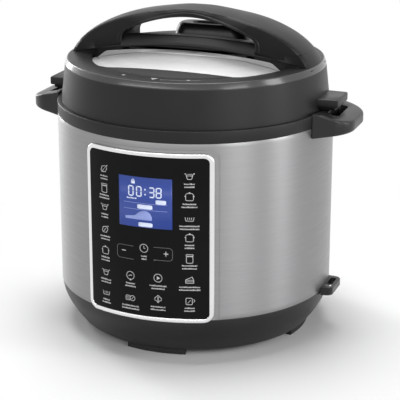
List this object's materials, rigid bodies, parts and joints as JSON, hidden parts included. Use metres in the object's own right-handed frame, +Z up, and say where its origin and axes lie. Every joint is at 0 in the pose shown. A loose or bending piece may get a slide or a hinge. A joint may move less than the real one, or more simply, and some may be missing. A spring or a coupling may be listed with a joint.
{
  "type": "electric pressure cooker",
  "caption": "Upright electric pressure cooker: brushed steel drum on a black base, curved control panel, bayonet lid with arched handle, lift-out pot.",
  "frame": {"origin": "on the drum's axis, in the plane that the feet stand on", "axes": "+Z up along the drum's axis, -Y out of the control panel, +X towards the side with the spoon loop"},
  "size_m": [0.336, 0.305, 0.3215],
  "materials": {
    "satin_black": "satin moulded ABS, fine grain",
    "foot_rubber": "matt rubber",
    "zinc_sheet": "zinc-plated sheet",
    "screw_steel": "plated steel",
    "brushed_drum": "stainless sheet brushed round the drum",
    "brushed_lid": "stainless dish brushed in circles",
    "polished_pot": "stainless, polished outside and brushed inside",
    "bright_chrome": "bright chromed trim",
    "panel_black": "gloss black touch panel",
    "display_blue": "backlit blue display",
    "circuit_board": "solder-masked board",
    "pin_brass": "brass blades",
    "drawn_aluminium": "drawn aluminium well",
    "cast_aluminium": "cast and faced aluminium",
    "stamped_steel": "stamped stainless",
    "ceramic_white": "ceramic-bodied fuse",
    "clear_plastic": "clear moulded cup",
    "silicone": "translucent silicone",
    "float_red": "red float pin"
  },
  "bodies": {
    "root": {"base": "satin_black", "feet": "foot_rubber", "bottom_cover": "zinc_sheet", "base_screws": "screw_steel", "steel_shell": "brushed_drum", "top_ring": "satin_black", "side_handle_right": "satin_black", "side_handle_left": "satin_black", "panel_frame": "bright_chrome", "panel_glass": "panel_black", "display_module": "display_blue", "control_board": "circuit_board", "power_board": "circuit_board", "mains_inlet": "satin_black", "inlet_pins": "pin_brass", "spoon_loop": "satin_black", "liner": "drawn_aluminium", "locking_collar": "stamped_steel", "heating_plate": "cast_aluminium", "sensor_cup": "stamped_steel", "sensor_spring": "screw_steel", "pressure_switch": "stamped_steel", "thermal_fuse": "ceramic_white", "collector_bracket": "satin_black"},
    "condensation_cup": {"collector_cup": "clear_plastic"},
    "sensor": {"sensor_button": "cast_aluminium"},
    "pot": {"inner_pot": "polished_pot"},
    "seal": {"sealing_ring": "silicone"},
    "lid": {"ring_rack": "screw_steel", "pressure_lid": "brushed_lid", "lid_cover": "satin_black", "arch_handle": "satin_black", "handle_screws": "screw_steel", "exhaust_pipe": "stamped_steel", "anti_block_shield": "stamped_steel"},
    "float": {"float_valve": "float_red", "float_seal": "silicone"},
    "knob": {"steam_knob": "satin_black"}
  },
  "joints": [
    {"name": "pot_lift", "type": "slide", "parent": "root", "child": "pot", "axis": [0, 0, 1], "range_m": [0, 0.19]},
    {"name": "lid_lift", "type": "slide", "parent": "pot", "child": "seal", "axis": [0, 0, 1], "range_m": [0, 0.12]},
    {"name": "lid_turn", "type": "hinge", "parent": "seal", "child": "lid", "pos_m": [0, 0, 0.22], "axis": [0, 0, 1], "range_deg": [0, 30]},
    {"name": "steam_knob_turn", "type": "hinge", "parent": "lid", "child": "knob", "pos_m": [0.01, 0.022, 0.29], "axis": [0, 0, -1], "range_deg": [0, 25]},
    {"name": "float_rise", "type": "slide", "parent": "lid", "child": "float", "axis": [0, 0, 1], "range_m": [0, 0.004]},
    {"name": "sensor_press", "type": "slide", "parent": "root", "child": "sensor", "axis": [0, 0, -1], "range_m": [0, 0.002], "stiffness_N_per_m": 1000, "springref_m": -0.003, "deforming": ["sensor_spring"]},
    {"name": "cup_lift", "type": "slide", "parent": "root", "child": "condensation_cup", "axis": [0, 0, 1], "range_m": [0, 0.06]}
  ]
}
